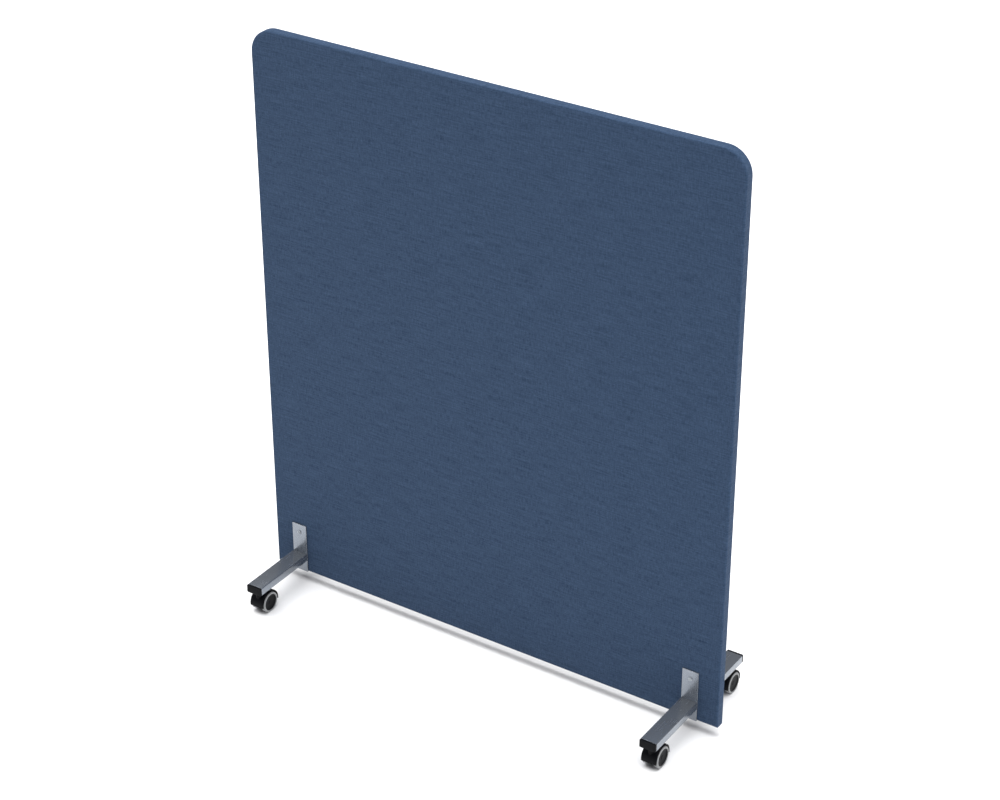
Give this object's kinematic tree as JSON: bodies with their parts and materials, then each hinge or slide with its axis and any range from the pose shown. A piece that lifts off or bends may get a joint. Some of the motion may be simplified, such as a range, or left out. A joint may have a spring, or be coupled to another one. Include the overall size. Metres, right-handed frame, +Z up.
{
  "type": "partition wall",
  "caption": "Free-standing partition wall: a fabric-covered acoustic panel with rounded top corners, held upright by split steel feet on swivelling twin-wheel casters.",
  "frame": {"origin": "on the floor, under the middle of the panel, halfway between the two feet", "axes": "+X along the panel's width to the right-hand foot, +Y through the panel's thickness from the front face to the rear face, +Z up"},
  "size_m": [1.2, 0.39, 1.39],
  "materials": {
    "blue_fabric": "woven melange",
    "frame_timber": "planed softwood",
    "acoustic_felt": "needled felt",
    "silver_steel": "satin",
    "zinc_steel": "bright zinc",
    "black_plastic": "fine satin",
    "grey_tread": "matt"
  },
  "bodies": {
    "screen": {"fabric_cover": "blue_fabric", "underside_strip": "black_plastic", "frame_top_rail": "frame_timber", "frame_bottom_rail": "frame_timber", "frame_left_stile": "frame_timber", "frame_right_stile": "frame_timber", "acoustic_infill": "acoustic_felt", "mounting_plate_front_left": "silver_steel", "mounting_plate_rear_left": "silver_steel", "mounting_plate_front_right": "silver_steel", "mounting_plate_rear_right": "silver_steel", "foot_tube_front_left": "silver_steel", "foot_tube_rear_left": "silver_steel", "foot_tube_front_right": "silver_steel", "foot_tube_rear_right": "silver_steel", "end_cap_front_left": "black_plastic", "end_cap_rear_left": "black_plastic", "end_cap_front_right": "black_plastic", "end_cap_rear_right": "black_plastic", "foot_bolt_left_upper": "zinc_steel", "foot_bolt_left_lower": "zinc_steel", "foot_bolt_right_upper": "zinc_steel", "foot_bolt_right_lower": "zinc_steel", "sleeve_nut_left_upper": "zinc_steel", "sleeve_nut_left_lower": "zinc_steel", "sleeve_nut_right_upper": "zinc_steel", "sleeve_nut_right_lower": "zinc_steel", "caster_bush_front_left": "zinc_steel", "caster_bush_rear_left": "zinc_steel", "caster_bush_front_right": "zinc_steel", "caster_bush_rear_right": "zinc_steel", "caster_stem_front_left": "zinc_steel", "caster_stem_rear_left": "zinc_steel", "caster_stem_front_right": "zinc_steel", "caster_stem_rear_right": "zinc_steel"},
    "swivel_front_left": {"caster_housing_front_left": "black_plastic", "caster_axle_front_left": "zinc_steel"},
    "swivel_rear_left": {"caster_housing_rear_left": "black_plastic", "caster_axle_rear_left": "zinc_steel"},
    "swivel_front_right": {"caster_housing_front_right": "black_plastic", "caster_axle_front_right": "zinc_steel"},
    "swivel_rear_right": {"caster_housing_rear_right": "black_plastic", "caster_axle_rear_right": "zinc_steel"},
    "wheel_front_left_a": {"wheel_core_front_left_a": "black_plastic", "wheel_tread_front_left_a": "grey_tread"},
    "wheel_front_left_b": {"wheel_core_front_left_b": "black_plastic", "wheel_tread_front_left_b": "grey_tread"},
    "wheel_rear_left_a": {"wheel_core_rear_left_a": "black_plastic", "wheel_tread_rear_left_a": "grey_tread"},
    "wheel_rear_left_b": {"wheel_core_rear_left_b": "black_plastic", "wheel_tread_rear_left_b": "grey_tread"},
    "wheel_front_right_a": {"wheel_core_front_right_a": "black_plastic", "wheel_tread_front_right_a": "grey_tread"},
    "wheel_front_right_b": {"wheel_core_front_right_b": "black_plastic", "wheel_tread_front_right_b": "grey_tread"},
    "wheel_rear_right_a": {"wheel_core_rear_right_a": "black_plastic", "wheel_tread_rear_right_a": "grey_tread"},
    "wheel_rear_right_b": {"wheel_core_rear_right_b": "black_plastic", "wheel_tread_rear_right_b": "grey_tread"}
  },
  "joints": [
    {"name": "swivel_front_left", "type": "hinge", "parent": "screen", "child": "swivel_front_left", "pos_m": [-0.53, -0.176, 0.0565], "axis": [0, 0, 1], "continuous": true},
    {"name": "swivel_rear_left", "type": "hinge", "parent": "screen", "child": "swivel_rear_left", "pos_m": [-0.53, 0.176, 0.0565], "axis": [0, 0, 1], "continuous": true},
    {"name": "swivel_front_right", "type": "hinge", "parent": "screen", "child": "swivel_front_right", "pos_m": [0.53, -0.176, 0.0565], "axis": [0, 0, 1], "continuous": true},
    {"name": "swivel_rear_right", "type": "hinge", "parent": "screen", "child": "swivel_rear_right", "pos_m": [0.53, 0.176, 0.0565], "axis": [0, 0, 1], "continuous": true},
    {"name": "spin_front_left_a", "type": "hinge", "parent": "swivel_front_left", "child": "wheel_front_left_a", "pos_m": [-0.51575, -0.1585, 0.025], "axis": [1, 0, 0], "continuous": true},
    {"name": "spin_front_left_b", "type": "hinge", "parent": "swivel_front_left", "child": "wheel_front_left_b", "pos_m": [-0.54425, -0.1585, 0.025], "axis": [1, 0, 0], "continuous": true},
    {"name": "spin_rear_left_a", "type": "hinge", "parent": "swivel_rear_left", "child": "wheel_rear_left_a", "pos_m": [-0.54425, 0.1585, 0.025], "axis": [1, 0, 0], "continuous": true},
    {"name": "spin_rear_left_b", "type": "hinge", "parent": "swivel_rear_left", "child": "wheel_rear_left_b", "pos_m": [-0.51575, 0.1585, 0.025], "axis": [1, 0, 0], "continuous": true},
    {"name": "spin_front_right_a", "type": "hinge", "parent": "swivel_front_right", "child": "wheel_front_right_a", "pos_m": [0.54425, -0.1585, 0.025], "axis": [1, 0, 0], "continuous": true},
    {"name": "spin_front_right_b", "type": "hinge", "parent": "swivel_front_right", "child": "wheel_front_right_b", "pos_m": [0.51575, -0.1585, 0.025], "axis": [1, 0, 0], "continuous": true},
    {"name": "spin_rear_right_a", "type": "hinge", "parent": "swivel_rear_right", "child": "wheel_rear_right_a", "pos_m": [0.51575, 0.1585, 0.025], "axis": [1, 0, 0], "continuous": true},
    {"name": "spin_rear_right_b", "type": "hinge", "parent": "swivel_rear_right", "child": "wheel_rear_right_b", "pos_m": [0.54425, 0.1585, 0.025], "axis": [1, 0, 0], "continuous": true}
  ]
}
